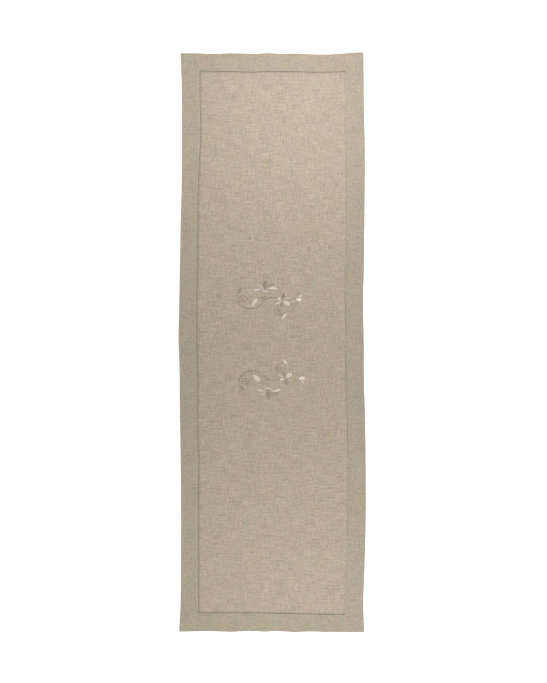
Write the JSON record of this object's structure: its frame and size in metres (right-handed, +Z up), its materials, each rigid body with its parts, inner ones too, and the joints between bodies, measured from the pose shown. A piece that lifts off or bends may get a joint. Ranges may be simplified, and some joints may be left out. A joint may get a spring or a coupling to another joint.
{
  "type": "table runner",
  "caption": "Long flat linen table runner with a wide folded border, drawn-thread hemstitching and two facing embroidered flower sprays.",
  "frame": {"origin": "middle of the underside, on the surface that the runner lies on", "axes": "+Y along the length towards the top motif's end, +X across the width, +Z up out of the face"},
  "size_m": [0.406, 1.274, 0.0026],
  "materials": {
    "linen_field": "matt plain-weave linen, slubbed, one layer",
    "linen_border": "matt plain-weave linen, folded double",
    "linen_back": "matt plain-weave linen, turned-back hem",
    "openwork": "drawn-thread ladder of bundled linen yarns",
    "hem_thread": "fine pale sewing thread",
    "stem_thread": "twisted embroidery thread, soft sheen",
    "white_thread": "satin stitch, silky",
    "cream_thread": "satin stitch, silky",
    "olive_thread": "satin stitch, silky",
    "brown_thread": "satin stitch, silky",
    "taupe_thread": "satin stitch, silky"
  },
  "bodies": {
    "root": {"field_panel": "linen_field", "border_band": "linen_border", "hem_back_top": "linen_back", "openwork_top": "openwork", "hemstitch_top": "hem_thread", "hem_back_bottom": "linen_back", "openwork_bottom": "openwork", "hemstitch_bottom": "hem_thread", "hem_back_left": "linen_back", "openwork_left": "openwork", "hemstitch_left": "hem_thread", "hem_back_right": "linen_back", "openwork_right": "openwork", "hemstitch_right": "hem_thread", "mitre_seam_top_left": "hem_thread", "mitre_seam_top_right": "hem_thread", "mitre_seam_bottom_left": "hem_thread", "mitre_seam_bottom_right": "hem_thread", "top_vine": "stem_thread", "top_spiral": "stem_thread", "top_leaf_stem": "stem_thread", "top_hanging_curl": "stem_thread", "top_bud_stem": "stem_thread", "top_lily_left": "white_thread", "top_lily_upper": "white_thread", "top_lily_middle": "olive_thread", "top_lily_right": "white_thread", "top_lily_back": "taupe_thread", "top_star_outer": "taupe_thread", "top_star_upper": "white_thread", "top_star_cream": "cream_thread", "top_star_left": "white_thread", "top_star_inner": "white_thread", "top_star_lower": "taupe_thread", "top_leaf": "cream_thread", "top_sprig": "taupe_thread", "top_bud_cup": "white_thread", "top_bud_tip": "cream_thread", "top_hanging_bud": "white_thread", "bottom_vine": "stem_thread", "bottom_spiral": "stem_thread", "bottom_leaf_stem": "stem_thread", "bottom_hanging_curl": "stem_thread", "bottom_bud_stem": "stem_thread", "bottom_lily_left": "white_thread", "bottom_lily_upper": "white_thread", "bottom_lily_middle": "brown_thread", "bottom_lily_right": "white_thread", "bottom_lily_back": "taupe_thread", "bottom_star_outer": "taupe_thread", "bottom_star_upper": "white_thread", "bottom_star_cream": "cream_thread", "bottom_star_left": "white_thread", "bottom_star_inner": "white_thread", "bottom_star_lower": "taupe_thread", "bottom_leaf": "cream_thread", "bottom_sprig": "taupe_thread", "bottom_bud_cup": "white_thread", "bottom_bud_tip": "cream_thread", "bottom_hanging_bud": "white_thread"}
  },
  "joints": []
}
